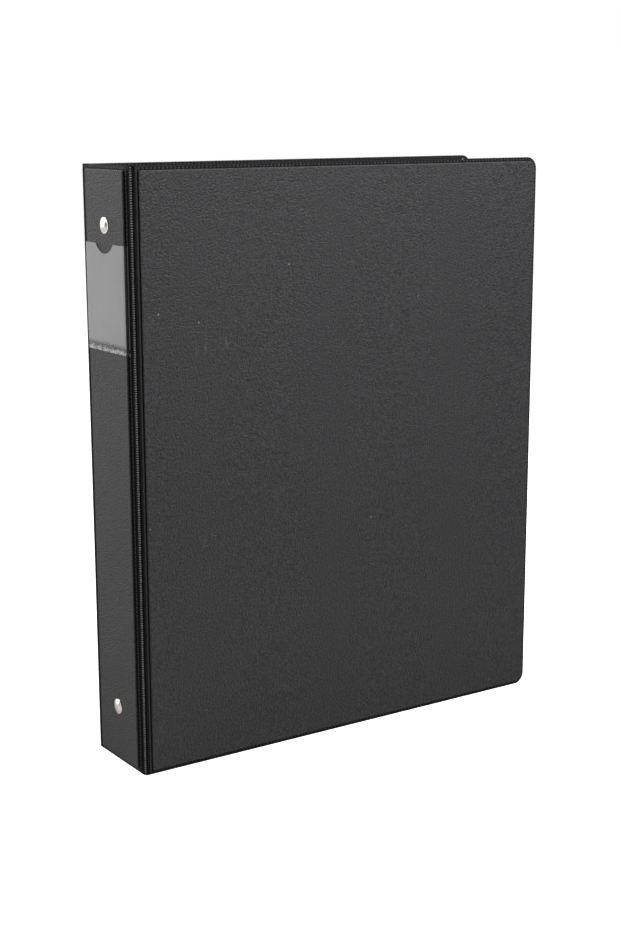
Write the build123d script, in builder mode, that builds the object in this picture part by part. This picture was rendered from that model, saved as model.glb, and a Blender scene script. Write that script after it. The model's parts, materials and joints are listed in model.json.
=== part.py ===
# Ring binder with vinyl-covered boards, a clear spine label pocket and a
# three-ring metal mechanism with an opening lever at each end.
#
# Frame: +Z up along the spine, the spine at -X, the free cover edges at +X,
# the front cover at -Y and the back cover at +Y. The bottom edges stand on
# z = 0 and the origin is under the middle of the overall box.
import os
from math import asin, cos, degrees, radians, sin, sqrt, tan

from build123d import *

os.makedirs("parts", exist_ok=True)

# Covers and spine
binder_height = 292.1
cover_width = 236.9
spine_width = 37.5
cover_splay = 0.79  # degrees that each cover stands out from square
board_thickness = 2.3
vinyl_thickness = 0.35
weld_flange = 2.0
free_corner_radius = 6.0
fold_radius = 0.6

# Hinge welds, from the hinge axis to the panel beside it
cover_hinge_gap = 3.6
spine_hinge_gap = 5.0
hinge_bend_radius = 1.2

# Label pocket on the spine
label_bottom = 205.4
label_height = 50.6
label_film = 0.25
label_card_room = 0.45
label_edge_gap = 0.1
label_bend_radius = 0.5
label_lip = 2.4
label_weld = 3.2
notch_width = 17.2
notch_depth = 4.6

# Inside pockets of the covers
pocket_film = 0.3
pocket_room = 0.3
pocket_height = 150.0
pocket_hinge_inset = 30.0
pocket_edge_inset = 8.0
pocket_weld = 4.0

# Ring mechanism
mechanism_rise = 0.6  # how far its middle lies above the middle of the spine
ring_pitch = 107.95
rivet_spacing = 235.7
ring_inner_diameter = 26.0
wire_diameter = 2.9
housing_length = 262.0
housing_width = 18.9
housing_crown = 5.6
housing_shoulder = 4.0
housing_sheet = 0.7
housing_lip = 1.55
housing_shoulder_radius = 0.5
blade_thickness = 0.8
blade_tilt = 8.0  # degrees, the inner edge towards the spine when closed
blade_pivot_height = 2.6
blade_edge_gap = 0.2
foot_inset = 3.0  # from a blade's pivot to the end of its half rings
foot_stake_radius = 0.9
tip_gap = 0.1
tip_cone_length = 1.0
tip_cone_radius = 0.9
slot_clearance = 0.5
fit_clearance = 0.05

# Rivets and posts
rivet_head_radius = 4.05
rivet_head_height = 1.3
rivet_shank_radius = 1.75
post_wall = 0.6
post_flange_height = 0.5
post_neck_radius = 1.9
post_blade_gap = 0.8

# Opening levers
lever_pivot_inset = 2.5  # from the end of the housing
lever_pivot_height = 1.6
lever_pin_radius = 0.7
lever_hub_radius = 1.1
lever_width = 13.0
lever_sheet = 1.0
lever_reach = 11.2
lever_corner_radius = 3.0
tongue_length = 6.0
tongue_width = 3.0
tongue_thickness = 0.6
tongue_gap = 0.2

# Worked out from the sizes above
panel_thickness = board_thickness + 2 * vinyl_thickness
cover_reach = cover_hinge_gap + cover_width
hinge_y = spine_width / 2 + spine_hinge_gap
splay = radians(cover_splay)
cover_run = cover_reach * cos(splay) + vinyl_thickness * sin(splay)
overall_length = rivet_head_height + panel_thickness / 2 + cover_run
hinge_x = -overall_length / 2 + rivet_head_height + panel_thickness / 2
lining_x = hinge_x + panel_thickness / 2
mechanism_z = binder_height / 2 + mechanism_rise

wire_radius = wire_diameter / 2
ring_radius = ring_inner_diameter / 2 + wire_radius
housing_wall_y = housing_width / 2 - housing_sheet
blade_pivot_y = housing_wall_y - blade_edge_gap
tilt = radians(blade_tilt)
foot_y = blade_pivot_y - foot_inset
blade_top_at_foot = blade_pivot_height - foot_inset * tan(tilt) + blade_thickness / 2 / cos(tilt)
foot_rise = 0.4 * wire_radius
ring_centre_x = lining_x + blade_top_at_foot + foot_rise + sqrt(ring_radius**2 - foot_y**2)
ring_heights = [mechanism_z + step * ring_pitch for step in (1, 0, -1)]
rivet_heights = [mechanism_z + side * rivet_spacing / 2 for side in (1, -1)]
lever_pivot_z = mechanism_z + housing_length / 2 - lever_pivot_inset
blade_half_length = housing_length / 2 - lever_pivot_inset - lever_hub_radius - 0.5
shank_bore_radius = rivet_shank_radius + fit_clearance
post_radius = shank_bore_radius + post_wall

# Sketch planes: local x runs away from the hinge, local y runs up, and the
# normal points out of the binder. In the hinge plane both lie mid panel.
front_plane = Plane(
    origin=(hinge_x, -hinge_y, 0),
    x_dir=(cos(splay), -sin(splay), 0),
    z_dir=(-sin(splay), -cos(splay), 0),
)
spine_plane = Plane(origin=(hinge_x, 0, 0), x_dir=(0, -1, 0), z_dir=(-1, 0, 0))


def save(piece, name):
    """Label one finished piece and write it as its own STEP file."""
    piece.part.label = name
    export_step(piece.part, f"parts/{name}.step")


def panel_sketch(plane, start, end, inset, corner_radius):
    """An upright panel outline, drawn in from the binder's edges by inset."""
    with BuildSketch(plane) as outline:
        with Locations(((start + end) / 2, binder_height / 2)):
            Rectangle(end - start, binder_height - 2 * inset)
        if corner_radius > 0:
            fillet(outline.vertices().group_by(Axis.X)[-1], corner_radius)
    return outline


def vinyl_skin(plane, start, end, free_edge, side):
    """Half of a panel's cover: a shallow vinyl pan over the board.

    The pan opens at the middle of the panel, where its weld flange meets the
    flange of the other half. free_edge is the flange's width beyond the board
    at the far end, and side is 1 for the outer half and -1 for the inner one.
    """
    corner = free_corner_radius if free_edge else 0
    flange = panel_sketch(plane, start, end, 0, corner)
    fold = panel_sketch(plane, start, end - free_edge, weld_flange, max(corner - weld_flange, 0))
    board_edge = weld_flange + vinyl_thickness
    room = panel_sketch(
        plane,
        start + vinyl_thickness,
        end - free_edge - vinyl_thickness,
        board_edge,
        max(corner - board_edge, 0),
    )
    with BuildPart() as skin:
        extrude(fold.sketch, amount=side * panel_thickness / 2)
        rim = skin.faces().sort_by(Axis(plane.origin, plane.z_dir * side))[-1].edges()
        fillet(rim, fold_radius)
        extrude(flange.sketch, amount=side * vinyl_thickness)
        extrude(room.sketch, amount=side * board_thickness / 2, mode=Mode.SUBTRACT)
    return skin


def board(plane, start, end, free_edge):
    """The chipboard stiffener that fills the room between two vinyl pans."""
    corner = free_corner_radius if free_edge else 0
    board_edge = weld_flange + vinyl_thickness
    outline = panel_sketch(
        plane,
        start + vinyl_thickness,
        end - free_edge - vinyl_thickness,
        board_edge,
        max(corner - board_edge, 0),
    )
    with BuildPart() as sheet:
        extrude(outline.sketch, amount=board_thickness / 2, both=True)
    return sheet


def mirrored(piece):
    """The same piece on the back half of the binder."""
    with BuildPart() as twin:
        mirror(piece.part, about=Plane.XZ)
    return twin


# Front and back covers
cover_panel = (front_plane, cover_hinge_gap, cover_reach, weld_flange)
front_board = board(*cover_panel)
front_outer_skin = vinyl_skin(*cover_panel, side=1)
front_inner_skin = vinyl_skin(*cover_panel, side=-1)
save(front_board, "front_board")
save(front_outer_skin, "front_outer_skin")
save(front_inner_skin, "front_inner_skin")
save(mirrored(front_board), "back_board")
save(mirrored(front_outer_skin), "back_outer_skin")
save(mirrored(front_inner_skin), "back_inner_skin")

# Inside pocket: a film welded along its bottom and two sides, open at the top
pocket_start = pocket_hinge_inset
pocket_end = cover_reach - weld_flange - pocket_edge_inset
pocket_bottom = weld_flange + pocket_edge_inset
pocket_middle = ((pocket_start + pocket_end) / 2, pocket_bottom + pocket_height / 2)
with BuildPart() as front_pocket:
    with BuildSketch(front_plane.offset(-panel_thickness / 2)):
        with Locations(pocket_middle):
            Rectangle(pocket_end - pocket_start, pocket_height)
    extrude(amount=-(pocket_room + pocket_film))
    with BuildSketch(front_plane.offset(-panel_thickness / 2)):
        with Locations((pocket_middle[0], pocket_middle[1] + pocket_weld)):
            Rectangle(pocket_end - pocket_start - 2 * pocket_weld, pocket_height)
    extrude(amount=-pocket_room, mode=Mode.SUBTRACT)
save(front_pocket, "front_pocket")
save(mirrored(front_pocket), "back_pocket")

# Hinge weld: both vinyl layers fused flat, bent round the hinge axis
hinge_point = Vector(hinge_x, -hinge_y)
spine_end = hinge_point + Vector(0, spine_hinge_gap)
cover_end = hinge_point + front_plane.x_dir * cover_hinge_gap
with BuildPart() as front_hinge_strip:
    with BuildSketch():
        with BuildLine():
            FilletPolyline(spine_end, hinge_point, cover_end, radius=hinge_bend_radius)
        trace(line_width=2 * vinyl_thickness)
    extrude(amount=binder_height)
save(front_hinge_strip, "front_hinge_strip")
save(mirrored(front_hinge_strip), "back_hinge_strip")

# Spine panel, drilled for the two rivets
spine_panel = (spine_plane, -spine_width / 2, spine_width / 2, 0)


def drilled(piece):
    """The piece with a hole for each rivet's shank."""
    with BuildPart() as holed:
        add(piece.part)
        for height in rivet_heights:
            with BuildSketch(spine_plane):
                with Locations((0, height)):
                    Circle(shank_bore_radius)
            extrude(amount=panel_thickness, both=True, mode=Mode.SUBTRACT)
    return holed


save(drilled(board(*spine_panel)), "spine_board")
save(drilled(vinyl_skin(*spine_panel, side=1)), "spine_outer_skin")
save(drilled(vinyl_skin(*spine_panel, side=-1)), "spine_inner_skin")

# Label pocket: clear film wrapped over the spine's edges and welded down in
# both hinge gaps and along its bottom. It is open at the top, where a shallow
# thumb notch is cut.
notch_radius = ((notch_width / 2) ** 2 + notch_depth**2) / (2 * notch_depth)
label_top = label_bottom + label_height
film_face_x = hinge_x - panel_thickness / 2 - label_card_room - label_film / 2
film_lip_x = hinge_x - vinyl_thickness - label_film / 2
film_edge_y = spine_width / 2 + label_edge_gap + label_film / 2
film_lip_y = film_edge_y + label_lip
with BuildPart() as label_holder:
    with BuildSketch(Plane.XY.offset(label_bottom)):
        with BuildLine():
            FilletPolyline(
                (film_lip_x, -film_lip_y),
                (film_lip_x, -film_edge_y),
                (film_face_x, -film_edge_y),
                (film_face_x, film_edge_y),
                (film_lip_x, film_edge_y),
                (film_lip_x, film_lip_y),
                radius=label_bend_radius,
            )
        trace(line_width=label_film)
    extrude(amount=label_height)
    with BuildSketch(spine_plane.offset(panel_thickness / 2)):
        with Locations((0, label_bottom + label_weld / 2)):
            Rectangle(spine_width - 2 * fold_radius, label_weld)
    extrude(amount=label_card_room)
    with BuildSketch(spine_plane):
        with Locations((0, label_top - notch_depth + notch_radius)):
            Circle(notch_radius)
    extrude(amount=panel_thickness, mode=Mode.SUBTRACT)
save(label_holder, "label_holder")


# Housing of the ring mechanism
def arch(half_width, foot, shoulder, crown):
    """A closed arch section over the spine, in heights above its lining."""
    with BuildSketch(Plane.XY.offset(mechanism_z - housing_length / 2)) as section:
        with BuildLine():
            left_foot = (lining_x + foot, -half_width)
            left_shoulder = (lining_x + shoulder, -half_width)
            right_shoulder = (lining_x + shoulder, half_width)
            right_foot = (lining_x + foot, half_width)
            Line(left_foot, left_shoulder)
            ThreePointArc(left_shoulder, (lining_x + crown, 0), right_shoulder)
            Line(right_shoulder, right_foot)
            Line(right_foot, left_foot)
        make_face()
    return section


outer_arch = arch(housing_width / 2, 0, housing_shoulder, housing_crown)
inner_arch = arch(
    housing_wall_y,
    housing_sheet,
    housing_shoulder - housing_sheet,
    housing_crown - housing_sheet,
)
base_gap = housing_width - 2 * housing_lip
slot_width = wire_diameter + 2 * slot_clearance
slot_floor = blade_pivot_height - blade_thickness
slot_inner_y = foot_y - wire_radius / 2 - slot_clearance
lever_notch_width = lever_width + 2 * slot_clearance
lever_notch_length = housing_length / 2 - blade_half_length
with BuildPart() as housing:
    extrude(outer_arch.sketch, amount=housing_length)
    shoulders = housing.edges().filter_by(Axis.Z).sort_by(Axis.X)[-2:]
    fillet(shoulders, housing_shoulder_radius)
    extrude(inner_arch.sketch, amount=housing_length, mode=Mode.SUBTRACT)
    with BuildSketch(Plane.XY.offset(mechanism_z - housing_length / 2)):
        with Locations((lining_x + housing_sheet / 2, 0)):
            Rectangle(housing_sheet, base_gap)
    extrude(amount=housing_length, mode=Mode.SUBTRACT)
    slot_depth = housing_width / 2 - slot_inner_y
    slot_rise = housing_crown - slot_floor
    for height in ring_heights:
        for side in (1, -1):
            slot_middle = (
                lining_x + slot_floor + slot_rise / 2,
                side * (slot_inner_y + slot_depth / 2),
                height,
            )
            with Locations(slot_middle):
                Box(slot_rise, slot_depth, slot_width, mode=Mode.SUBTRACT)
    for side in (1, -1):
        notch_z = mechanism_z + side * (housing_length - lever_notch_length) / 2
        with Locations((lining_x + housing_crown / 2, 0, notch_z)):
            Box(
                housing_crown,
                lever_notch_width,
                lever_notch_length,
                mode=Mode.SUBTRACT,
            )
        pin_z = mechanism_z + side * (lever_pivot_z - mechanism_z)
        with Locations(Location((lining_x + lever_pivot_height, 0, pin_z), (90, 0, 0))):
            Cylinder(lever_pin_radius + fit_clearance, housing_width, mode=Mode.SUBTRACT)
    for height in rivet_heights:
        with Locations(Location((lining_x + housing_crown, 0, height), (0, 90, 0))):
            Cylinder(post_neck_radius + fit_clearance, housing_crown, mode=Mode.SUBTRACT)
save(housing, "housing")

# Blades: two long plates side by side under the housing, each rocking on its
# outer edge. Local x runs from the pivot to the middle, local y runs up the
# blade, and the normal points away from the spine.
blade_plane = Plane(
    origin=(lining_x + blade_pivot_height, -blade_pivot_y, mechanism_z),
    x_dir=(-sin(tilt), cos(tilt), 0),
    z_dir=(cos(tilt), sin(tilt), 0),
)
blade_width = blade_pivot_y - blade_edge_gap
blade_overhang = 0.05
foot_stake_x = foot_inset / cos(tilt) - foot_stake_radius
with BuildPart() as front_blade:
    with BuildSketch(blade_plane.offset(-blade_thickness / 2)):
        with Locations(((blade_width - blade_overhang) / 2, 0)):
            Rectangle(blade_width + blade_overhang, 2 * blade_half_length)
        with Locations(*[(foot_stake_x, height - mechanism_z) for height in ring_heights]):
            Circle(foot_stake_radius + fit_clearance, mode=Mode.SUBTRACT)
        with Locations(*[(blade_pivot_y, height - mechanism_z) for height in rivet_heights]):
            Circle(post_radius + post_blade_gap, mode=Mode.SUBTRACT)
    extrude(amount=blade_thickness)
save(front_blade, "front_blade")
save(mirrored(front_blade), "back_blade")


def half_ring(height):
    """Half of one ring, from its foot on the front blade to its tip."""
    tip_angle = degrees(tip_gap / 2 / ring_radius)
    foot_angle = 180 - degrees(asin(foot_y / ring_radius))
    tip = radians(tip_angle)
    section_plane = Plane(
        origin=(
            ring_centre_x + ring_radius * cos(tip),
            -ring_radius * sin(tip),
            height,
        ),
        x_dir=(0, 0, 1),
        z_dir=(-sin(tip), -cos(tip), 0),
    )
    with BuildPart() as ring:
        with BuildSketch(section_plane):
            Circle(wire_radius)
        revolve(
            axis=Axis((ring_centre_x, 0, height), (0, 0, -1)),
            revolution_arc=foot_angle - tip_angle,
        )
        split(bisect_by=blade_plane.offset(blade_thickness / 2), keep=Keep.TOP)
        with BuildSketch(blade_plane.offset(-blade_thickness / 2)):
            with Locations((foot_stake_x, height - mechanism_z)):
                Circle(foot_stake_radius)
        extrude(amount=blade_thickness + wire_radius / 2)
    return ring


def tip_cone(height, start_y, clearance):
    """The cone that lines up a ring's two tips, or the room for it."""
    with BuildPart() as cone:
        with Locations(Location((ring_centre_x + ring_radius, start_y, height), (-90, 0, 0))):
            Cone(
                tip_cone_radius + clearance,
                tip_cone_radius / 3 + clearance,
                tip_cone_length + clearance,
                align=(Align.CENTER, Align.CENTER, Align.MIN),
            )
    return cone


for name, height in zip(("top", "middle", "bottom"), ring_heights):
    plain_half = half_ring(height)
    nub = tip_cone(height, -tip_gap, 0)
    socket = tip_cone(height, 0, 3 * fit_clearance)
    with BuildPart() as front_half:
        add(plain_half.part)
        add(nub.part)
    save(front_half, f"front_half_ring_{name}")
    with BuildPart() as back_half:
        mirror(plain_half.part, about=Plane.XZ)
        add(socket.part, mode=Mode.SUBTRACT)
    save(back_half, f"back_half_ring_{name}")

# Opening lever: a finger plate that rises from a pin in the housing's ears,
# with a tongue under the blades. Local x is height over the lining and local
# y runs up the binder from the pin.
lever_plane = Plane(
    origin=(lining_x + lever_pivot_height, 0, lever_pivot_z),
    x_dir=(1, 0, 0),
    z_dir=(0, -1, 0),
)
lever_knee = (1.6, 2.6)
lever_brow = (7.4, 8.0)
lever_tip = (8.4, lever_reach)
tongue_low = tongue_gap - lever_pivot_height
with BuildPart() as top_lever:
    with BuildSketch(lever_plane):
        with BuildLine():
            FilletPolyline((0, 0), lever_knee, lever_brow, lever_tip, radius=2.0)
        trace(line_width=lever_sheet)
    extrude(amount=lever_width / 2, both=True)
    with BuildSketch(Plane(origin=lever_plane.origin, x_dir=(0, 1, 0), z_dir=(1, 0, 0))) as outline:
        with Locations((0, lever_reach / 2)):
            Rectangle(lever_width, lever_reach + 2 * lever_sheet)
        fillet(outline.vertices().group_by(Axis.Y)[-1], lever_corner_radius)
    extrude(amount=2 * lever_reach, both=True, mode=Mode.INTERSECT)
    with BuildSketch(lever_plane):
        Circle(lever_hub_radius)
    extrude(amount=lever_width / 2, both=True)
    with BuildSketch(lever_plane):
        Circle(lever_pin_radius)
    extrude(amount=housing_width / 2, both=True)
    with BuildSketch(lever_plane):
        with Locations((tongue_low + tongue_thickness / 2, -tongue_length / 2)):
            Rectangle(tongue_thickness, tongue_length)
    extrude(amount=tongue_width / 2, both=True)
save(top_lever, "top_lever")
with BuildPart() as bottom_lever:
    mirror(top_lever.part, about=Plane.XY.offset(mechanism_z))
save(bottom_lever, "bottom_lever")

# Rivets from outside the spine, and the posts that they hold the housing by
head_radius = (rivet_head_radius**2 + rivet_head_height**2) / (2 * rivet_head_height)
shank_top = housing_crown - housing_sheet - 0.6
post_shoulder = housing_crown - housing_sheet - 0.15
for name, height in zip(("top", "bottom"), rivet_heights):
    section = Plane(origin=(lining_x, 0, height), x_dir=(1, 0, 0), z_dir=(0, -1, 0))
    with BuildPart() as rivet:
        with BuildSketch(section):
            with BuildLine():
                crown = (-panel_thickness - rivet_head_height, 0)
                rim = (-panel_thickness, rivet_head_radius)
                Line(crown, (-panel_thickness, 0))
                Line((-panel_thickness, 0), rim)
                RadiusArc(rim, crown, -head_radius)
            make_face()
            with Locations(((shank_top - panel_thickness) / 2, rivet_shank_radius / 2)):
                Rectangle(shank_top + panel_thickness, rivet_shank_radius)
        revolve(axis=Axis((lining_x, 0, height), (1, 0, 0)))
    save(rivet, f"{name}_rivet")
    with BuildPart() as post:
        with BuildSketch(section):
            with Locations((post_shoulder / 2, post_radius / 2)):
                Rectangle(post_shoulder, post_radius)
            neck_top = housing_crown + post_flange_height
            with Locations((neck_top / 2, post_neck_radius / 2)):
                Rectangle(neck_top, post_neck_radius)
            flange_radius = post_radius + post_wall
            with Locations((housing_crown + post_flange_height / 2, flange_radius / 2)):
                Rectangle(post_flange_height, flange_radius)
            bore_top = shank_top + fit_clearance
            with Locations((bore_top / 2, shank_bore_radius / 2)):
                Rectangle(bore_top, shank_bore_radius, mode=Mode.SUBTRACT)
        revolve(axis=Axis((lining_x, 0, height), (1, 0, 0)))
    save(post, f"{name}_post")

print("overall length", round(overall_length, 2))
print("hinge axes at x", round(hinge_x, 3), "y", round(hinge_y, 3))
print("blade pivots at x", round(lining_x + blade_pivot_height, 3), "y", round(blade_pivot_y, 3))
print("lever pins at x", round(lining_x + lever_pivot_height, 3), "z", round(lever_pivot_z, 3))
print("ring centre x", round(ring_centre_x, 3), "lining x", round(lining_x, 3))
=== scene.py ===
import json
import math

import bpy
from mathutils import Matrix, Vector


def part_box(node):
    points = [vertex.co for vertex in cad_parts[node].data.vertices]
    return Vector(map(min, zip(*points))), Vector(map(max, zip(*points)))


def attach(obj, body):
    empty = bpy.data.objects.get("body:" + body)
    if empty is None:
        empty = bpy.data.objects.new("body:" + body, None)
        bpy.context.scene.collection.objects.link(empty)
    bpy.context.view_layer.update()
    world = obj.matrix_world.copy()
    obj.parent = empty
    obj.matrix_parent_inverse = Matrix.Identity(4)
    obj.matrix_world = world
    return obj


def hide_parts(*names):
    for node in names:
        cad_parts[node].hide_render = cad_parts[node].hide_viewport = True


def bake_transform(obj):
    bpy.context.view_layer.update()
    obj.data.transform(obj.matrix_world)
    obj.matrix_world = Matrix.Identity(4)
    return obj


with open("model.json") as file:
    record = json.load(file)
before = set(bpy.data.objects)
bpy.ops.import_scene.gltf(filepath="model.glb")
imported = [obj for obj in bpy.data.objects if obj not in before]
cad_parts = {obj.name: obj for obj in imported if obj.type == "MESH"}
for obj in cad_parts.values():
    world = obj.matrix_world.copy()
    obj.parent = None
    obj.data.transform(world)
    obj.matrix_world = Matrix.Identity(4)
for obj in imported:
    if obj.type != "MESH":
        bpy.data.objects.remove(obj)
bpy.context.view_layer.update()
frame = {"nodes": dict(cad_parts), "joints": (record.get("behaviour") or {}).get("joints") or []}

print("stage: frame loaded,", len(frame["nodes"]), "CAD nodes")

# Pieces are modelled in millimetres and scaled to metres when they are settled in place
millimetre = 0.001
slack, tight = 0.01, 0.001  # how near counts as being on a row or an edge, in millimetres
binder = {"height": 292.1, "coverStart": 3.6, "coverReach": 240.5, "spineHalf": 18.75,
          "halfThickness": 1.5, "flange": 2.0, "freeCorner": 6.0, "splay": 0.79}
hingeSpot = Vector(next(j["pos_m"] for j in frame["joints"] if j["name"] == "front_cover_hinge"))
hingeX, hingeY = hingeSpot.x / millimetre, -hingeSpot.y / millimetre


def within(value, span):
    return span[0] < value < span[1]


def clearSelection():
    if bpy.context.mode != "OBJECT":
        bpy.ops.object.mode_set(mode="OBJECT")
    bpy.ops.object.select_all(action="DESELECT")


def hold(piece):
    clearSelection()
    piece.select_set(True)
    bpy.context.view_layer.objects.active = piece


def pick(piece, kind, test):  # leaves the piece in edit mode with only the tested parts selected
    hold(piece)
    mesh = piece.data
    for group in (mesh.vertices, mesh.edges, mesh.polygons):
        group.foreach_set("select", [False] * len(group))
    for item in {"VERT": mesh.vertices, "EDGE": mesh.edges, "FACE": mesh.polygons}[kind]:
        item.select = bool(test(item))
    bpy.context.tool_settings.mesh_select_mode = (kind == "VERT", kind == "EDGE", kind == "FACE")
    bpy.ops.object.mode_set(mode="EDIT")


def applyModifier(piece, kind, **values):
    hold(piece)
    modifier = piece.modifiers.new("shape", kind)
    for name, value in values.items():
        setattr(modifier, name, value)
    bpy.ops.object.modifier_apply(modifier=modifier.name)


def freeze(piece):
    hold(piece)
    bpy.ops.object.transform_apply(location=True, rotation=True, scale=True)


def profileStrip(name, profile, steps, length):
    # A grid whose rows are pushed one at a time to the profile's (y, z) points; its length runs along x
    clearSelection()
    spans, away = len(profile) - 1, 1000  # unmoved rows wait far away from the moved ones
    bpy.ops.mesh.primitive_grid_add(x_subdivisions=steps, y_subdivisions=spans, size=1,
                                    location=(length / 2, away + spans / 2, 0))
    strip = bpy.context.object
    strip.name = strip.data.name = name
    strip.scale = (length, spans, 1)
    freeze(strip)
    for row, (y, z) in enumerate(profile):
        pick(strip, "VERT", lambda v: abs(v.co.y - away - row) < slack)
        bpy.ops.transform.translate(value=(0, y - away - row, z))
    clearSelection()
    return strip


def markRows(piece, name, share):  # a value at each point, which the finishes read as an attribute
    marks = piece.data.attributes.new(name, "FLOAT", "POINT")
    marks.data.foreach_set("value", [share(v.co) for v in piece.data.vertices])


def capLoops(piece, *tests):
    for test in tests:
        points = piece.data.vertices
        pick(piece, "EDGE", lambda e: all(test(points[i].co) for i in e.vertices))
        bpy.ops.mesh.edge_face_add()
        clearSelection()


def faceOutwards(piece):
    pick(piece, "FACE", lambda f: True)
    bpy.ops.mesh.normals_make_consistent(inside=False)
    clearSelection()


def settle(piece, place, body, smooth=40):
    # Turns a flat-modelled piece into its place, in metres, and leaves its object unturned at the origin
    piece.matrix_world = Matrix.Scale(millimetre, 4) @ place
    freeze(piece)
    if place.determinant() < 0:
        pick(piece, "FACE", lambda f: True)
        bpy.ops.mesh.flip_normals()
    hold(piece)
    bpy.ops.object.shade_smooth_by_angle(angle=math.radians(smooth))
    if body:
        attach(piece, body)
    clearSelection()
    return piece


# Places: x away from the hinge or along the spine, y up, z out of the binder
sideMirror = {"front": Matrix.Identity(4), "back": Matrix.Scale(-1, 4, (0, 1, 0))}
coverPlace = (Matrix.Translation((hingeX, -hingeY, 0))
              @ Matrix.Rotation(-math.radians(binder["splay"]), 4, "Z")
              @ Matrix.Rotation(math.pi / 2, 4, "X"))
spinePlace = (Matrix.Translation((hingeX, 0, 0)) @ Matrix.Rotation(-math.pi / 2, 4, "Z")
              @ Matrix.Rotation(math.pi / 2, 4, "X"))
inwards = Matrix.Scale(-1, 4, (0, 0, 1))

# Panel skins: a heat-sealed flange with cross bars, a round fold and a flat face
skinRim = {
    "profile": [(0, 0), (0, 0.14), (0.1, 0.27), (0.32, 0.34), (0.55, 0.28), (0.72, 0.16), (1.15, 0.16),
                (1.6, 0.16), (1.76, 0.12), (1.93, 0.16), (2.0, 0.42), (2.0, 0.9), (2.05, 1.13),
                (2.18, 1.32), (2.37, 1.45), (2.6, 1.5), (2.95, 1.5)],
    "barPitch": 2.1, "barHeight": 0.13, "barRows": (0.7, 1.65), "barShare": (0.2, 0.6), "sealedTo": 2.0,
    "barSteps": 4, "nearCorner": 3.0, "nearSteps": 8, "farSteps": 14,
}


def outlineCurve(left, right, height, leftCorner, rightCorner):
    clearSelection()
    bpy.ops.mesh.primitive_plane_add(size=1, location=((left + right) / 2, height / 2, 0))
    outline = bpy.context.object
    outline.scale = (right - left, height, 1)
    freeze(outline)
    middle = (left + right) / 2
    pick(outline, "VERT", lambda v: v.co.x > middle)
    bpy.ops.mesh.bevel(offset=rightCorner, affect="VERTICES", segments=skinRim["farSteps"])
    pick(outline, "VERT", lambda v: v.co.x < left + slack)
    bpy.ops.mesh.bevel(offset=leftCorner, affect="VERTICES", segments=skinRim["nearSteps"])
    bpy.ops.mesh.select_all(action="SELECT")
    bpy.ops.mesh.delete(type="ONLY_FACE")
    hold(outline)
    bpy.ops.object.convert(target="CURVE")
    outline = bpy.context.object
    outline.data.dimensions = "3D"
    outline.data.use_stretch = outline.data.use_deform_bounds = True
    return outline


def onBar(point):
    return within(point.y, skinRim["barRows"]) and within(point.x / skinRim["barPitch"], skinRim["barShare"])


def panelSkin(name, left, right, rightCorner, place, body):
    height = binder["height"]
    girth = 2 * (right - left + height)
    bars = round(girth / skinRim["barPitch"])
    rim = profileStrip(name, skinRim["profile"], skinRim["barSteps"], skinRim["barPitch"])
    pick(rim, "VERT", lambda v: onBar(v.co))
    bpy.ops.transform.translate(value=(0, 0, skinRim["barHeight"]))
    clearSelection()
    # the flange between the bars is marked sealed; the black cover finish paints it near-black there, as
    # painted shade and painted dark reflection
    markRows(rim, "sealed", lambda p: 1.0 if p.y <= skinRim["sealedTo"] and not onBar(p) else 0.0)
    applyModifier(rim, "ARRAY", count=bars, use_relative_offset=False, use_constant_offset=True,
                  constant_offset_displace=(skinRim["barPitch"], 0, 0), use_merge_vertices=True,
                  merge_threshold=tight)
    outline = outlineCurve(left, right, height, skinRim["nearCorner"], rightCorner)
    applyModifier(rim, "CURVE", object=outline, deform_axis="POS_X")
    bpy.data.objects.remove(outline)
    pick(rim, "VERT", lambda v: True)
    bpy.ops.mesh.remove_doubles(threshold=slack)
    clearSelection()
    top = binder["halfThickness"]
    inner = skinRim["profile"][-1][0]
    capLoops(rim, lambda p: p.z < tight,
             lambda p: p.z > top - tight and within(p.x, (left + inner - slack, right - inner + slack))
             and within(p.y, (inner - slack, height - inner + slack)))
    faceOutwards(rim)
    return settle(rim, place, body)


flange = binder["flange"]
skinFaces = (("outer", Matrix.Identity(4), "black_vinyl"), ("inner", inwards, "lining_vinyl"))
skins = {}
for side in ("front", "back"):
    for face, turn, slot in skinFaces:
        name = f"{side}_cover_{face}_vinyl"
        skins[name] = panelSkin(name, binder["coverStart"] - flange, binder["coverReach"],
                                binder["freeCorner"], sideMirror[side] @ coverPlace @ turn,
                                f"{side}_cover")
        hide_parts(f"{side}_{face}_skin")
for face, turn, slot in skinFaces:
    name = f"spine_{face}_vinyl"
    reach = binder["spineHalf"] + flange
    skins[name] = panelSkin(name, -reach, reach, skinRim["nearCorner"], spinePlace @ turn, "spine")
    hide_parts(f"spine_{face}_skin")
print("stage: panel skins,", len(skins))

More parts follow.
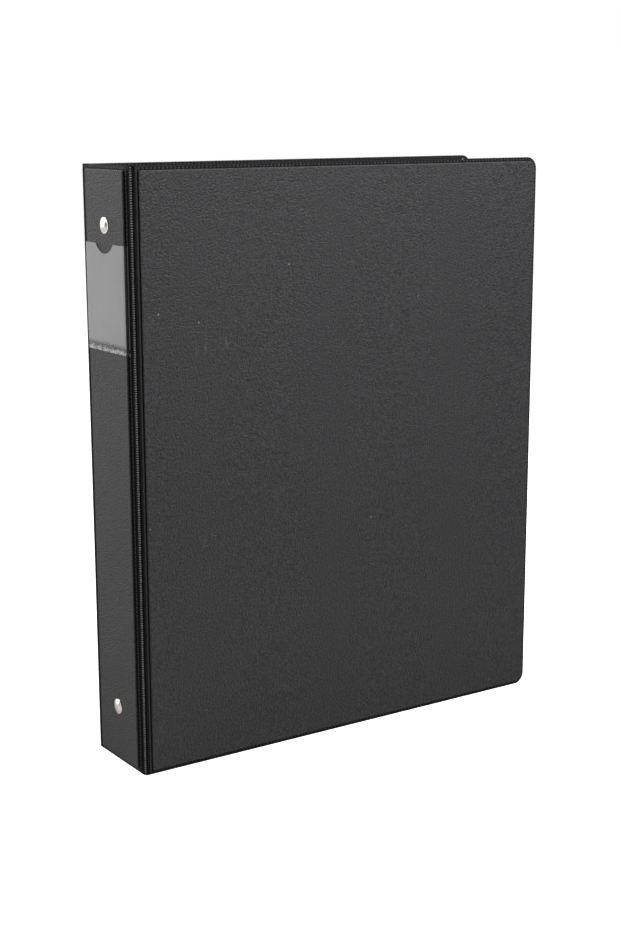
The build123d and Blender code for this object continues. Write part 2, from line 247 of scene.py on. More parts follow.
# Hinge welds: modelled flat, then bent round the hinge axis
hingeWeld = {
    "outer": [(0, -0.4), (0, -0.12), (1.4, -0.12), (3.0, -0.1), (3.8, -0.05), (4.25, 0.02), (4.45, 0.25),
              (4.62, 0.46), (4.88, 0.54), (5.14, 0.46), (5.31, 0.25), (5.5, 0.04), (5.8, 0.0),
              (6.15, 0.0), (6.42, 0.04), (6.6, 0.2), (6.75, 0.42), (7.0, 0.54), (7.35, 0.57),
              (7.7, 0.52), (7.95, 0.4), (8.1, 0.3), (8.37, 0.3)],
    "inner": [(8.37, -0.33), (7.6, -0.4), (6.7, -0.62), (6.2, -0.74), (5.7, -0.66), (4.88, -0.66),
              (4.1, -0.66), (3.6, -0.74), (3.1, -0.7), (2.0, -0.66), (0, -0.6), (0, -0.4)],
    "ribs": 258, "ribSteps": 4, "spineEnd": 5.15, "coverEnd": 3.75, "bend": 1.217, "bendSteps": 10,
    "flatEnd": 2.1, "flatShare": 0.15, "flatLevel": 0.3, "outerFrom": -0.15, "flexFrom": 1.5,
    # ticks and ribs: profile rows, the height they start above, share of the pitch, rise
    "lifts": [((4.4, 5.4), 0.2, (0.65, 0.85), -0.26), ((5.45, 6.5), -0.1, (0.2, 0.6), 0.14),
              ((6.7, 7.8), 0.3, (0.65, 0.85), -0.04)],
    # painted highlight ticks on the bead crest, and a band crest a little lighter than the rest: the same,
    # with how much of the near-black seal colour they keep
    "crestHighlights": [((4.5, 5.3), 0.4, (0.2, 0.6), 0.0), ((6.9, 8.0), 0.38, (-0.1, 1.1), 0.82)],
}


def bendPath():
    clearSelection()
    away = hingeWeld["coverEnd"]
    spread = math.radians(binder["splay"])
    bpy.ops.mesh.primitive_plane_add(size=2)
    path = bpy.context.object
    corners = {(-1, 1): (0, hingeWeld["spineEnd"]), (-1, -1): (0, 0),
               (1, -1): (away * math.cos(spread), -away * math.sin(spread))}
    pick(path, "VERT", lambda v: v.co.x > 0 and v.co.y > 0)
    bpy.ops.mesh.delete(type="VERT")
    for (x, y), (newX, newY) in corners.items():
        pick(path, "VERT", lambda v: abs(v.co.x - x) + abs(v.co.y - y) < slack)
        bpy.ops.transform.translate(value=(newX - x, newY - y, 0))
    pick(path, "VERT", lambda v: v.co.length < slack)
    bpy.ops.mesh.bevel(offset=hingeWeld["bend"], affect="VERTICES", segments=hingeWeld["bendSteps"])
    hold(path)
    bpy.ops.object.convert(target="CURVE")
    path = bpy.context.object
    if path.data.splines[0].points[0].co.y < hingeWeld["spineEnd"] / 2:  # it has to start at the spine
        bpy.ops.object.mode_set(mode="EDIT")
        bpy.ops.curve.select_all(action="SELECT")
        bpy.ops.curve.switch_direction()
        clearSelection()
    path.data.dimensions = "3D"
    return path


def onPatch(point, pitch, rows, above, share):
    return within(point.y, rows) and point.z > above and within(point.x / pitch, share)


def hingeStrip(side):
    pitch = binder["height"] / hingeWeld["ribs"]
    strip = profileStrip(f"{side}_hinge_weld", hingeWeld["outer"] + hingeWeld["inner"],
                         hingeWeld["ribSteps"], pitch)
    for *patch, rise in hingeWeld["lifts"]:
        pick(strip, "VERT", lambda v: onPatch(v.co, pitch, *patch))
        bpy.ops.transform.translate(value=(0, 0, rise))
    clearSelection()
    # the whole strip is marked sealed, so its finish paints it near-black as painted shade in the recess;
    # only the crest patches keep the lighter colour, as painted highlights
    markRows(strip, "sealed", lambda p: next(
        (sealAndShade for *patch, sealAndShade in hingeWeld["crestHighlights"] if onPatch(p, pitch, *patch)), 1.0))
    applyModifier(strip, "ARRAY", count=hingeWeld["ribs"], use_relative_offset=False,
                  use_constant_offset=True, constant_offset_displace=(pitch, 0, 0),
                  use_merge_vertices=True, merge_threshold=tight)
    # the ribs are pressed flat near both ends
    ribbed = (hingeWeld["flatEnd"], binder["height"] - hingeWeld["flatEnd"])
    pick(strip, "VERT", lambda v: v.co.z > hingeWeld["outerFrom"] and not within(v.co.x, ribbed))
    bpy.ops.transform.resize(value=(1, 1, hingeWeld["flatShare"]),
                             center_override=(0, 0, hingeWeld["flatLevel"]))
    # the strip's long sides meet at its spine end, and its two ends are capped
    seam = hingeWeld["outer"][0][1]
    pick(strip, "VERT", lambda v: abs(v.co.y) < tight and abs(v.co.z - seam) < tight)
    bpy.ops.mesh.remove_doubles(threshold=tight)
    clearSelection()
    capLoops(strip, lambda p: abs(p.x) < slack, lambda p: abs(p.x - binder["height"]) < slack)
    # length up, width along the path, thickness out
    strip.matrix_world = Matrix(((0, 1, 0, 0), (0, 0, -1, 0), (1, 0, 0, 0), (0, 0, 0, 1)))
    freeze(strip)
    path = bendPath()
    applyModifier(strip, "CURVE", object=path, deform_axis="POS_X")
    bpy.data.objects.remove(path)
    faceOutwards(strip)
    settle(strip, sideMirror[side] @ Matrix.Translation((hingeX, -hingeY, 0)), None)
    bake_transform(strip)
    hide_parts(f"{side}_hinge_strip")
    return strip


hinges = {side: hingeStrip(side) for side in ("front", "back")}
print("stage: hinge welds")

# Clear label film: wrapped over the spine's edges, with a thumb notch and a crinkled bottom weld
labelFilm = {
    "bottom": 205.4, "height": 50.6, "film": 0.2, "face": 1.78, "edge": 18.9, "bend": 0.5, "bendSteps": 3,
    "lip": 0.1, "lipEnd": 20.1, "ridge": 0.22, "ridgeOuter": 0.12, "ridgeInner": 0.2,
    "columns": 52, "rows": 44, "notchHalf": 8.6, "notchDepth": 4.6,
    "weld": 3.2, "weldCuts": 2, "weldDrop": 0.16, "crinkle": 0.1, "crinkleSeed": 4, "sealedShare": 1.05,
    "shade": 0.13, "shadeShare": (0.5, 1.3), "clearMargin": (-0.1, 0.05), "highlightMargin": 0.05,
    "cutDepth": 0.1, "weldDepth": 0.2, "highlightDepth": 0.02,  # how far below the face level each test reaches
}


def filmProfile():
    edge, face, lip, bend = (labelFilm[k] for k in ("edge", "face", "lip", "bend"))
    lipEnd, ridge, steps = labelFilm["lipEnd"], lip + labelFilm["ridge"], labelFilm["bendSteps"]
    turns = [math.radians(90 / steps * (step + 1)) for step in range(steps)]
    half = [(-lipEnd, lip), (-lipEnd + labelFilm["ridgeOuter"], ridge),
            (-edge - bend - labelFilm["ridgeInner"], ridge), (-edge - bend, lip)]
    half += [(-edge - bend + bend * math.sin(turn), lip + bend * (1 - math.cos(turn))) for turn in turns]
    half.append((-edge, face - bend))
    half += [(-edge + bend * (1 - math.cos(turn)), face - bend + bend * math.sin(turn)) for turn in turns]
    span = edge - bend
    middle = [(-span + 2 * span * i / labelFilm["columns"], face) for i in range(1, labelFilm["columns"])]
    return half + middle + [(-y, z) for y, z in reversed(half)]


film = profileStrip("spine_label_film", filmProfile(), labelFilm["rows"], labelFilm["height"])
arc = (labelFilm["notchHalf"] ** 2 + labelFilm["notchDepth"] ** 2) / (2 * labelFilm["notchDepth"])
columnStops = sorted({round(v.co.y, 4) for v in film.data.vertices if abs(v.co.y) < labelFilm["notchHalf"]})
for stop in columnStops:
    cut = labelFilm["notchDepth"] - arc + math.sqrt(arc**2 - stop**2)
    pick(film, "VERT", lambda v: abs(v.co.y - stop) < tight)
    bpy.ops.transform.resize(value=(1 - cut / labelFilm["height"], 1, 1), center_override=(0, 0, 0))
clearSelection()
edge, bend, face, weld = (labelFilm[k] for k in ("edge", "bend", "face", "weld"))
pick(film, "FACE", lambda f: f.center.x < weld and f.center.z > face - labelFilm["cutDepth"])
bpy.ops.mesh.subdivide(number_cuts=labelFilm["weldCuts"])
pick(film, "VERT", lambda v: v.co.x < weld and v.co.z > face - labelFilm["weldDepth"])
bpy.ops.transform.translate(value=(0, 0, -labelFilm["weldDrop"]))
bpy.ops.transform.vertex_random(offset=labelFilm["crinkle"], seed=labelFilm["crinkleSeed"])
clearSelection()
# The finish reads these: the weld, its shaded top, the see-through side walls and the bends, which get a
# painted highlight
clearSpan = (edge + labelFilm["clearMargin"][0], edge + bend + labelFilm["clearMargin"][1])
paintedHighlightSpan = (edge - bend, edge - labelFilm["highlightMargin"])
shadeSpan = [share * weld for share in labelFilm["shadeShare"]]
markRows(film, "sealed", lambda p: 1.0 if p.x < labelFilm["sealedShare"] * weld else 0.0)
markRows(film, "clear", lambda p: 1.0 if within(abs(p.y), clearSpan) else 0.0)
# painted highlight: the bend rows next to the face get a light colour
markRows(film, "bend", lambda p: 1.0 if within(abs(p.y), paintedHighlightSpan) and p.x > weld
         and p.z < face - labelFilm["highlightDepth"] else 0.0)
markRows(film, "dark", lambda p: labelFilm["shade"] if within(p.x, shadeSpan) else 0.0)
applyModifier(film, "SOLIDIFY", thickness=labelFilm["film"], offset=0)
settle(film, spinePlace @ Matrix.Translation((0, labelFilm["bottom"], 0)) @ Matrix(
    ((0, -1, 0, 0), (1, 0, 0, 0), (0, 0, 1, 0), (0, 0, 0, 1))), "spine", smooth=50)
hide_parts("label_holder")
print("stage: label film")

# Rivets: low domes with a rolled rim, on a short shank
rivetHead = {"radius": 3.85, "rise": 1.28, "rim": 0.22, "rimRise": (0.5, 0.6), "rimInset": 0.06,
             "crownInset": 0.3, "rings": 9, "shank": 1.75, "sides": 56, "seat": 1.5, "shankEnd": -5.0}


def rivet(name, height):
    clearSelection()
    bpy.ops.mesh.primitive_circle_add(vertices=rivetHead["sides"], radius=rivetHead["shank"],
                                      location=(0, height, rivetHead["shankEnd"]), fill_type="NGON")
    head = bpy.context.object
    head.name = head.data.name = name
    freeze(head)
    middle = (0, height, rivetHead["seat"])
    pick(head, "FACE", lambda f: True)
    lift = rivetHead["seat"] - rivetHead["shankEnd"]
    radius, rim = rivetHead["radius"], rivetHead["rim"]
    steps = [(rivetHead["shank"], lift), (radius - rim, 0), (radius, rim * rivetHead["rimRise"][0]),
             (radius - rivetHead["rimInset"], rim * rivetHead["rimRise"][1])]
    crown = rivetHead["rise"] - sum(rivetHead["rimRise"]) * rim
    rings, reach, gained = rivetHead["rings"], radius - rivetHead["crownInset"], 0.0
    for ring in range(rings):
        share = 1 - ring / rings
        rise = crown * (1 - share**2) - gained
        gained += rise
        steps.append((reach * share, rise))
    now = rivetHead["shank"]
    for wide, rise in steps:
        bpy.ops.mesh.extrude_region_move(TRANSFORM_OT_translate={"value": (0, 0, rise)})
        bpy.ops.transform.resize(value=(wide / now, wide / now, 1), center_override=middle)
        now = wide
    faceOutwards(head)
    settle(head, spinePlace, "spine", smooth=50)
    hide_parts(name.replace("_head", ""))
    return head


rivets = []
for end in ("top", "bottom"):
    boxLow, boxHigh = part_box(f"{end}_rivet")
    rivets.append(rivet(f"{end}_rivet_head", (boxLow.z + boxHigh.z) / 2 / millimetre))
print("stage: rivets")

# Inside pockets: a film welded at its bottom and sides, with a mouth that stands open a little
pocket = {"left": 30.0, "right": 230.5, "bottom": 10.0, "height": 150.0, "columns": 40, "rows": 30,
          "weld": 4.0, "rise": 0.32, "film": 0.28, "corner": 2.5, "cornerSteps": 5,
          "mouthInset": 45, "mouthLifts": ((40, 0.12), (22, 0.12), (9, 0.11))}  # depth below the mouth, lift


def coverPocket(side):
    wide, high = pocket["right"] - pocket["left"], pocket["height"]
    clearSelection()
    bpy.ops.mesh.primitive_grid_add(x_subdivisions=pocket["columns"], y_subdivisions=pocket["rows"], size=1,
                                    location=(pocket["left"] + wide / 2, pocket["bottom"] + high / 2, 0))
    sheet = bpy.context.object
    sheet.name = sheet.data.name = f"{side}_cover_pocket_film"
    sheet.scale = (wide, high, 1)
    freeze(sheet)
    left, right, bottom = pocket["left"], pocket["right"], pocket["bottom"]
    stepX, stepY = wide / pocket["columns"], high / pocket["rows"]
    # the outermost rows become the weld, and the rows beside it its inner edge
    for inset, axis, sign in ((left, 0, 1), (right, 0, -1), (bottom, 1, 1)):
        step = (stepX, stepY)[axis]
        pick(sheet, "VERT", lambda v: abs(v.co[axis] - inset - sign * step) < slack)
        shift = [0, 0, 0]
        shift[axis] = sign * (pocket["weld"] - step)
        bpy.ops.transform.translate(value=shift)
    gap = pocket["weld"] + slack

    def loose(point):
        return within(point.x, (left + gap, right - gap)) and point.y > bottom + gap

    pick(sheet, "VERT", lambda v: loose(v.co))
    bpy.ops.transform.translate(value=(0, 0, pocket["rise"]))
    top = bottom + high
    for reach, lift in pocket["mouthLifts"]:
        inset = pocket["mouthInset"] - reach
        pick(sheet, "VERT", lambda v: top - v.co.y < reach and within(v.co.x, (left + inset, right - inset)))
        bpy.ops.transform.translate(value=(0, 0, lift))
    pick(sheet, "VERT", lambda v: min(abs(v.co.x - left), abs(v.co.x - right)) + abs(v.co.y - bottom) < slack)
    bpy.ops.mesh.bevel(offset=pocket["corner"], affect="VERTICES", segments=pocket["cornerSteps"])
    clearSelection()
    markRows(sheet, "sealed", lambda p: 0.0 if loose(p) else 1.0)
    applyModifier(sheet, "SOLIDIFY", thickness=pocket["film"], offset=1)
    onLining = Matrix.Translation((0, 0, binder["halfThickness"]))
    settle(sheet, sideMirror[side] @ coverPlace @ inwards @ onLining, f"{side}_cover")
    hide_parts(f"{side}_pocket")
    return sheet


pockets = {side: coverPocket(side) for side in ("front", "back")}
print("stage: inside pockets")


# Shared effects
def makeGroup(name, inputs, outputs):
    group = bpy.data.node_groups.new(name, "ShaderNodeTree")
    for label, value in inputs.items():
        socket = group.interface.new_socket(label, in_out="INPUT", socket_type="NodeSocketFloat")
        socket.default_value = value
    for label, kind in outputs.items():
        group.interface.new_socket(label, in_out="OUTPUT", socket_type=kind)
    nodes = group.nodes
    return group, nodes, group.links, nodes.new("NodeGroupInput"), nodes.new("NodeGroupOutput")


def addMath(nodes, links, operation, first, second):
    node = nodes.new("ShaderNodeMath")
    node.operation = operation
    for socket, value in zip(node.inputs, (first, second)):
        if isinstance(value, (int, float)):
            socket.default_value = value
        else:
            links.new(value, socket)
    return node.outputs[0]


def addRange(nodes, links, value, low, high, toLow, toHigh):
    node = nodes.new("ShaderNodeMapRange")
    links.new(value, node.inputs["Value"])
    for label, number in (("From Min", low), ("From Max", high), ("To Min", toLow), ("To Max", toHigh)):
        node.inputs[label].default_value = number
    return node.outputs[0]


def addPlace(nodes):
    return nodes.new("ShaderNodeTexCoord").outputs["Object"]


def addMark(nodes, name):  # reads one of the attributes that markRows wrote
    node = nodes.new("ShaderNodeAttribute")
    node.attribute_name = name
    return node.outputs["Fac"]


def addNoise(nodes, links, place, scale, detail=2.0, rough=0.5):
    node = nodes.new("ShaderNodeTexNoise")
    links.new(place, node.inputs["Vector"])
    node.inputs["Detail"].default_value = detail
    node.inputs["Roughness"].default_value = rough
    if isinstance(scale, (int, float)):
        node.inputs["Scale"].default_value = scale
    else:
        links.new(scale, node.inputs["Scale"])
    return node.outputs["Fac"]


grainLook = {"smooth": 0.6, "depth": -0.8, "fineShare": 1.7, "fineDetail": 3, "sagScale": 9.0,
             "sagDetail": 1.5, "toneShare": 0.85, "toneRange": (0.3, 0.7)}


def grainGroup():  # pebbled vinyl: rounded cells with finer noise, and a slow sag of the sheet over its board
    group, nodes, links, given, result = makeGroup(
        "vinyl grain", {"Cells": 1100.0}, {"Height": "NodeSocketFloat", "Sag": "NodeSocketFloat",
                                           "Tone": "NodeSocketFloat"})
    place = addPlace(nodes)
    cells = nodes.new("ShaderNodeTexVoronoi")
    cells.feature = "SMOOTH_F1"
    cells.inputs["Smoothness"].default_value = grainLook["smooth"]
    links.new(place, cells.inputs["Vector"])
    links.new(given.outputs["Cells"], cells.inputs["Scale"])
    fineScale = addMath(nodes, links, "MULTIPLY", given.outputs["Cells"], grainLook["fineShare"])
    fine = addNoise(nodes, links, place, fineScale, grainLook["fineDetail"])
    pebbles = addMath(nodes, links, "MULTIPLY", cells.outputs["Distance"], grainLook["depth"])
    links.new(addMath(nodes, links, "ADD", pebbles, fine), result.inputs["Height"])
    links.new(addNoise(nodes, links, place, grainLook["sagScale"], grainLook["sagDetail"]),
              result.inputs["Sag"])
    toneScale = addMath(nodes, links, "MULTIPLY", given.outputs["Cells"], grainLook["toneShare"])
    tone = addNoise(nodes, links, place, toneScale)
    links.new(addRange(nodes, links, tone, *grainLook["toneRange"], 0.0, 1.0), result.inputs["Tone"])
    return group


dustLook = {"cells": 140.0, "speck": (0.03, 0.075), "smallest": 0.25}


def dustGroup():  # sparse pale specks
    group, nodes, links, given, result = makeGroup("dust specks", {"Amount": 0.06},
                                                   {"Mask": "NodeSocketFloat"})
    place = addPlace(nodes)
    cells = nodes.new("ShaderNodeTexVoronoi")
    links.new(place, cells.inputs["Vector"])
    cells.inputs["Scale"].default_value = dustLook["cells"]
    speck = addRange(nodes, links, cells.outputs["Distance"], *dustLook["speck"], 1.0, 0.0)
    chance = nodes.new("ShaderNodeSeparateColor")
    links.new(cells.outputs["Color"], chance.inputs[0])
    kept = addMath(nodes, links, "LESS_THAN", chance.outputs[0], given.outputs["Amount"])
    size = addRange(nodes, links, chance.outputs[1], 0.0, 1.0, dustLook["smallest"], 1.0)
    links.new(addMath(nodes, links, "MULTIPLY", addMath(nodes, links, "MULTIPLY", speck, kept), size),
              result.inputs["Mask"])
    return group


scuffLook = {"stretch": (1.0, 1.0, 0.22), "streaks": 420.0, "detail": 4, "rough": 0.65,
             "streakRange": (0.6, 0.72), "regions": 26.0, "regionRange": (0.58, 0.72)}


def scuffGroup():  # short pale rubs, broken up by noise
    group, nodes, links, given, result = makeGroup("scuffs", {"Amount": 0.5}, {"Mask": "NodeSocketFloat"})
    place = addPlace(nodes)
    stretch = nodes.new("ShaderNodeMapping")
    stretch.inputs["Scale"].default_value = scuffLook["stretch"]
    links.new(place, stretch.inputs["Vector"])
    streak = addNoise(nodes, links, stretch.outputs[0], scuffLook["streaks"], scuffLook["detail"],
                      scuffLook["rough"])
    region = addNoise(nodes, links, place, scuffLook["regions"])
    thin = addRange(nodes, links, streak, *scuffLook["streakRange"], 0.0, 1.0)
    where = addRange(nodes, links, region, *scuffLook["regionRange"], 0.0, 1.0)
    links.new(addMath(nodes, links, "MULTIPLY", addMath(nodes, links, "MULTIPLY", thin, where),
                      given.outputs["Amount"]), result.inputs["Mask"])
    return group


grain, dust, scuffs = grainGroup(), dustGroup(), scuffGroup()


def startMaterial(name, finish):
    material = bpy.data.materials.new(name)
    material.use_nodes = True
    nodes, links = material.node_tree.nodes, material.node_tree.links
    shader = nodes["Principled BSDF"]
    for label, value in finish.get("sockets", {}).items():
        shader.inputs[label].default_value = value
    return material, nodes, links, shader


def useGroup(nodes, group, **values):
    node = nodes.new("ShaderNodeGroup")
    node.node_tree = group
    for label, value in values.items():
        node.inputs[label].default_value = value
    return node


def addMix(nodes, links, share, first, second):
    node = nodes.new("ShaderNodeMix")
    node.data_type = "RGBA"
    links.new(share, node.inputs[0])
    for socket, value in ((node.inputs[6], first), (node.inputs[7], second)):
        if isinstance(value, tuple):
            socket.default_value = (*value, 1)
        else:
            links.new(value, socket)
    return node.outputs[2]


def addBump(nodes, links, height, distance, under=None):
    node = nodes.new("ShaderNodeBump")
    node.inputs["Distance"].default_value = distance
    links.new(height, node.inputs["Height"])
    if under is not None:
        links.new(under, node.inputs["Normal"])
    return node.outputs[0]


# seal is the colour of the sealed zones: near-black painted shade and painted dark reflection on the cover
# flange and the hinge weld, a darker tone of the sheet on the lining and the pocket
vinylFinishes = {
    "black cover vinyl": {"base": (0.019, 0.0184, 0.0198), "light": (0.044, 0.043, 0.0455),
                          "sealAndShade": (0.002, 0.002, 0.002), "rough": 0.55, "sealRough": 0.75, "cells": 1100.0,
                          "grainDepth": 0.0004, "sagDepth": 0.0012, "dust": 0.08, "scuffs": 0.2,
                          "sockets": {"Specular IOR Level": 0.28}},
    "lining vinyl": {"base": (0.024, 0.024, 0.025), "light": (0.034, 0.034, 0.035),
                     "sealAndShade": (0.006, 0.006, 0.006), "rough": 0.48, "sealRough": 0.34, "cells": 1500.0,
                     "grainDepth": 0.00012, "sagDepth": 0.001, "dust": 0.015, "scuffs": 0.1,
                     "sockets": {"Specular IOR Level": 0.42}},
    # hinge weld: base and light show only on the crest patches, as painted highlight ticks; elsewhere the
    # near-black seal colour is painted shade
    "hinge weld vinyl": {"base": (0.08, 0.08, 0.082), "light": (0.22, 0.22, 0.222),
                         "sealAndShade": (0.001, 0.001, 0.001), "rough": 0.4, "sealRough": 0.5, "cells": 1600.0,
                         "grainDepth": 0.00008, "sagDepth": 0.0, "dust": 0.02, "scuffs": 0.3,
                         "sockets": {"Specular IOR Level": 0.06}},
    "pocket film": {"base": (0.02, 0.02, 0.021), "light": (0.026, 0.026, 0.027),
                    "sealAndShade": (0.012, 0.012, 0.012), "rough": 0.34, "sealRough": 0.3, "cells": 2400.0,
                    "grainDepth": 0.00004, "sagDepth": 0.0018, "dust": 0.02, "scuffs": 0.1,
                    "sockets": {"Specular IOR Level": 0.45}},
}


vinylWear = {"rub": (0.2, 0.2, 0.2), "speck": (0.45, 0.45, 0.44), "uneven": 0.04, "sealedGrain": 0.25}


def vinylMaterial(name):
    finish = vinylFinishes[name]
    material, nodes, links, shader = startMaterial(name, finish)
    texture = useGroup(nodes, grain, Cells=finish["cells"])
    specks = useGroup(nodes, dust, Amount=finish["dust"]).outputs["Mask"]
    rubs = useGroup(nodes, scuffs, Amount=finish["scuffs"]).outputs["Mask"]
    sealAndShade = addMark(nodes, "sealed")
    colour = addMix(nodes, links, texture.outputs["Tone"], finish["base"], finish["light"])
    # the sealed zones take the seal colour, which is painted shade on the cover flange and the hinge weld
    colour = addMix(nodes, links, sealAndShade, colour, finish["sealAndShade"])
    colour = addMix(nodes, links, rubs, colour, vinylWear["rub"])
    colour = addMix(nodes, links, specks, colour, vinylWear["speck"])
    links.new(colour, shader.inputs["Base Color"])
    rough = addRange(nodes, links, sealAndShade, 0.0, 1.0, finish["rough"], finish["sealRough"])
    uneven = addRange(nodes, links, texture.outputs["Tone"], 0.0, 1.0, -vinylWear["uneven"],
                      vinylWear["uneven"])
    links.new(addMath(nodes, links, "ADD", rough, uneven), shader.inputs["Roughness"])
    grainHeight = addMath(nodes, links, "MULTIPLY", texture.outputs["Height"],
                          addRange(nodes, links, sealAndShade, 0.0, 1.0, 1.0, vinylWear["sealedGrain"]))
    normal = addBump(nodes, links, texture.outputs["Sag"], finish["sagDepth"]) if finish["sagDepth"] else None
    links.new(addBump(nodes, links, grainHeight, finish["grainDepth"], under=normal), shader.inputs["Normal"])
    return material


# base with a high alpha gives the clear film its grey face: partly the film's haze, partly painted reflection
filmFinish = {"base": (0.15, 0.151, 0.154), "weld": (0.01, 0.01, 0.01), "weldLight": (0.34, 0.34, 0.34),
              # bend is a painted highlight colour for the bend rows
              "bend": (0.5, 0.5, 0.5), "rough": 0.22, "roughSpread": (-0.03, 0.05), "alpha": 0.86,
              "clearAlpha": 0.12, "crinkles": 700.0, "crinkleDetail": 4, "crinkleRough": 0.7,
              "crinkleRange": (0.42, 0.5), "clouds": 60.0, "cloudRange": (0.3, 0.7), "cloudLift": 1.08,
              "ripples": 35.0, "rippleDepth": 0.0006,
              "sockets": {"Coat Weight": 0.35, "Coat Roughness": 0.05, "IOR": 1.45}}


def filmMaterial():
    material, nodes, links, shader = startMaterial("clear label film", filmFinish)
    place = addPlace(nodes)
    crinkle = addNoise(nodes, links, place, filmFinish["crinkles"], filmFinish["crinkleDetail"],
                       filmFinish["crinkleRough"])
    crinkle = addMath(nodes, links, "SUBTRACT", crinkle, addMark(nodes, "dark"))
    marks = addMix(nodes, links, addRange(nodes, links, crinkle, *filmFinish["crinkleRange"], 0.0, 1.0),
                   filmFinish["weld"], filmFinish["weldLight"])
    cloud = addNoise(nodes, links, place, filmFinish["clouds"])
    # the film's grey tone, partly haze and partly painted reflection, varied in random clouds
    tint = addMix(nodes, links, addRange(nodes, links, cloud, *filmFinish["cloudRange"], 0.0, 1.0),
                  filmFinish["base"], tuple(v * filmFinish["cloudLift"] for v in filmFinish["base"]))
    # painted highlight along the film's bends
    tint = addMix(nodes, links, addMark(nodes, "bend"), tint, filmFinish["bend"])
    links.new(addMix(nodes, links, addMark(nodes, "sealed"), tint, marks), shader.inputs["Base Color"])
    smoothest, roughest = (filmFinish["rough"] + spread for spread in filmFinish["roughSpread"])
    links.new(addRange(nodes, links, cloud, *filmFinish["cloudRange"], smoothest, roughest),
              shader.inputs["Roughness"])
    links.new(addRange(nodes, links, addMark(nodes, "clear"), 0.0, 1.0, filmFinish["alpha"],
                       filmFinish["clearAlpha"]), shader.inputs["Alpha"])
    ripple = addNoise(nodes, links, place, filmFinish["ripples"])
    links.new(addBump(nodes, links, ripple, filmFinish["rippleDepth"]), shader.inputs["Normal"])
    return material


metalFinishes = {
    "nickel plate": {"base": (0.80, 0.77, 0.73), "dull": (0.62, 0.60, 0.57), "rough": 0.16, "brush": 0.05,
                     "stretch": (1.0, 1.0, 0.05), "depth": 0.00003},
    "rivet nickel": {"base": (0.88, 0.84, 0.79), "dull": (0.74, 0.69, 0.63), "rough": 0.2, "brush": 0.06,
                     "stretch": (1.0, 1.0, 1.0), "depth": 0.00004},
    "ring wire": {"base": (0.80, 0.78, 0.75), "dull": (0.66, 0.64, 0.62), "rough": 0.13, "brush": 0.05,
                  "stretch": (1.0, 1.0, 1.0), "depth": 0.00002},
    "blade steel": {"base": (0.58, 0.57, 0.56), "dull": (0.42, 0.41, 0.40), "rough": 0.32, "brush": 0.1,
                    "stretch": (1.0, 1.0, 0.03), "depth": 0.00005},
}


metalWear = {"scratches": 1800.0, "scratchDetail": 3, "scratchRough": 0.6, "scratchRange": (0.3, 0.7),
             "haze": 90.0, "hazeDetail": 3, "hazeRange": (0.42, 0.75)}


def metalMaterial(name):
    finish = metalFinishes[name]
    material, nodes, links, shader = startMaterial(name, {"sockets": {"Metallic": 1.0}})
    stretch = nodes.new("ShaderNodeMapping")
    stretch.inputs["Scale"].default_value = finish["stretch"]
    links.new(addPlace(nodes), stretch.inputs["Vector"])
    scratches = addNoise(nodes, links, stretch.outputs[0], metalWear["scratches"], metalWear["scratchDetail"],
                         metalWear["scratchRough"])
    haze = addNoise(nodes, links, stretch.outputs[0], metalWear["haze"], metalWear["hazeDetail"])
    worn = addRange(nodes, links, haze, *metalWear["hazeRange"], 0.0, 1.0)
    links.new(addMix(nodes, links, worn, finish["base"], finish["dull"]), shader.inputs["Base Color"])
    links.new(addRange(nodes, links, scratches, *metalWear["scratchRange"], finish["rough"] - finish["brush"],
                       finish["rough"] + finish["brush"]), shader.inputs["Roughness"])
    links.new(addBump(nodes, links, scratches, finish["depth"]), shader.inputs["Normal"])
    return material


boardFinish = {"base": (0.26, 0.22, 0.17), "fleck": (0.14, 0.12, 0.10), "fibres": 900.0, "detail": 5,
               "rough": 0.7, "fibreRange": (0.4, 0.65), "depth": 0.0002, "sockets": {"Roughness": 0.9}}


def boardMaterial():
    material, nodes, links, shader = startMaterial("chipboard", boardFinish)
    place = addPlace(nodes)
    fibres = addNoise(nodes, links, place, boardFinish["fibres"], boardFinish["detail"], boardFinish["rough"])
    flecks = addRange(nodes, links, fibres, *boardFinish["fibreRange"], 0.0, 1.0)
    links.new(addMix(nodes, links, flecks, boardFinish["base"], boardFinish["fleck"]),
              shader.inputs["Base Color"])
    links.new(addBump(nodes, links, fibres, boardFinish["depth"]), shader.inputs["Normal"])
    return material


def dress(piece, material):
    piece.data.materials.clear()
    piece.data.materials.append(material)


coverVinyl, liningVinyl = vinylMaterial("black cover vinyl"), vinylMaterial("lining vinyl")
weldVinyl, pocketVinyl = vinylMaterial("hinge weld vinyl"), vinylMaterial("pocket film")
nickel, rivetNickel = metalMaterial("nickel plate"), metalMaterial("rivet nickel")
wire, bladeSteel, chipboard = metalMaterial("ring wire"), metalMaterial("blade steel"), boardMaterial()
for name, piece in skins.items():
    dress(piece, coverVinyl if "outer" in name else liningVinyl)
for piece in hinges.values():
    dress(piece, weldVinyl)
for piece in pockets.values():
    dress(piece, pocketVinyl)
dress(film, filmMaterial())
for piece in rivets:
    dress(piece, rivetNickel)
nodeFinishes = {"_board": chipboard, "_rivet": rivetNickel, "_blade": bladeSteel, "half_ring": wire,
                "housing": nickel, "_lever": nickel, "_post": nickel}
for name, node in frame["nodes"].items():
    for part, material in nodeFinishes.items():
        if part in name:
            dress(node, material)
print("stage: finishes")

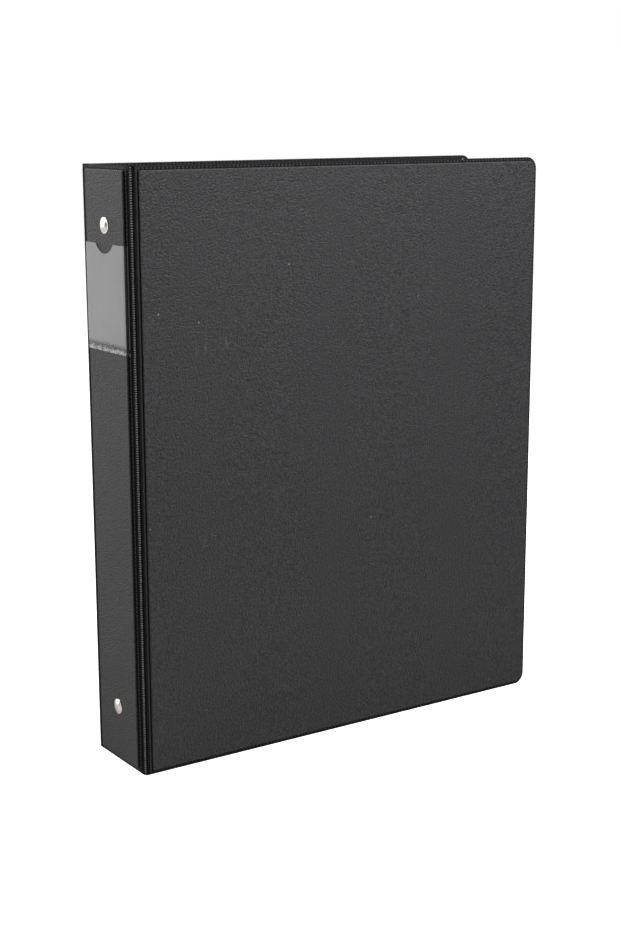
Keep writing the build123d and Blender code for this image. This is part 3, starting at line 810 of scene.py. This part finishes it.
# Floor, light and camera
# The camera sees the floor in its pale tone with some glow, and other rays see only the darker bounce
floorPlan = {"size": 14.0, "tone": (0.9, 0.9, 0.9), "bounce": (0.45, 0.45, 0.45), "glow": 0.96,
             "sockets": {"Roughness": 0.9, "Specular IOR Level": 0.1, "Emission Color": (1, 1, 1, 1)}}
clearSelection()
bpy.ops.mesh.primitive_plane_add(size=floorPlan["size"], location=(0, 0, 0))
floor = bpy.context.object
floor.name = "studio_floor"
floorMaterial, floorNodes, floorLinks, floorShader = startMaterial("pale floor", floorPlan)
seen = floorNodes.new("ShaderNodeLightPath").outputs["Is Camera Ray"]
floorLinks.new(addMix(floorNodes, floorLinks, seen, floorPlan["bounce"], floorPlan["tone"]),
               floorShader.inputs["Base Color"])
floorLinks.new(addMath(floorNodes, floorLinks, "MULTIPLY", seen, floorPlan["glow"]),
               floorShader.inputs["Emission Strength"])
dress(floor, floorMaterial)

# How bright the air looks to the camera, and how much it lights the rest
air = {"colour": (1.0, 1.0, 1.0, 1.0), "backdrop": 1.0, "fill": 0.09}
world = bpy.data.worlds.new("studio air")
bpy.context.scene.world = world
world.use_nodes = True
airNodes, airLinks = world.node_tree.nodes, world.node_tree.links
airSeen = airNodes.new("ShaderNodeLightPath").outputs["Is Camera Ray"]
airNodes["Background"].inputs["Color"].default_value = air["colour"]
airLinks.new(addRange(airNodes, airLinks, airSeen, 0.0, 1.0, air["fill"], air["backdrop"]),
             airNodes["Background"].inputs["Strength"])

lamps = {
    "overhead_softbox": {"at": (-0.85, 0.75, 1.3), "aim": (-0.1, 0.1, 0), "size": 1.4, "power": 26.0},
    "front_softbox": {"at": (0.15, -0.4, 0.8), "aim": (0, 0, 0.22), "size": 0.55, "power": 11.0},
    "spine_softbox": {"at": (-0.85, 1.2, 0.3), "aim": (-0.12, 0, 0.1), "size": 1.8, "power": 17.0},
}
for name, lamp in lamps.items():
    clearSelection()
    bpy.ops.object.light_add(type="AREA", location=lamp["at"])
    light = bpy.context.object
    light.name, light.data.size, light.data.energy = name, lamp["size"], lamp["power"]
    light.rotation_euler = (Vector(lamp["aim"]) - Vector(lamp["at"])).to_track_quat("-Z", "Y").to_euler()

shot = {"at": (-0.47105, -0.68259, 0.31499), "turn": (77.791, 0.158, -34.365), "lens": 62.944,
        "sensor": 36.0, "near": 0.01, "far": 50.0}
bpy.ops.object.camera_add(location=shot["at"], rotation=[math.radians(a) for a in shot["turn"]])
camera = bpy.context.object
camera.data.lens, camera.data.sensor_width = shot["lens"], shot["sensor"]
camera.data.clip_start, camera.data.clip_end = shot["near"], shot["far"]
bpy.context.scene.camera = camera
bpy.context.scene.view_settings.view_transform = "Standard"
print("stage: floor, light and camera")
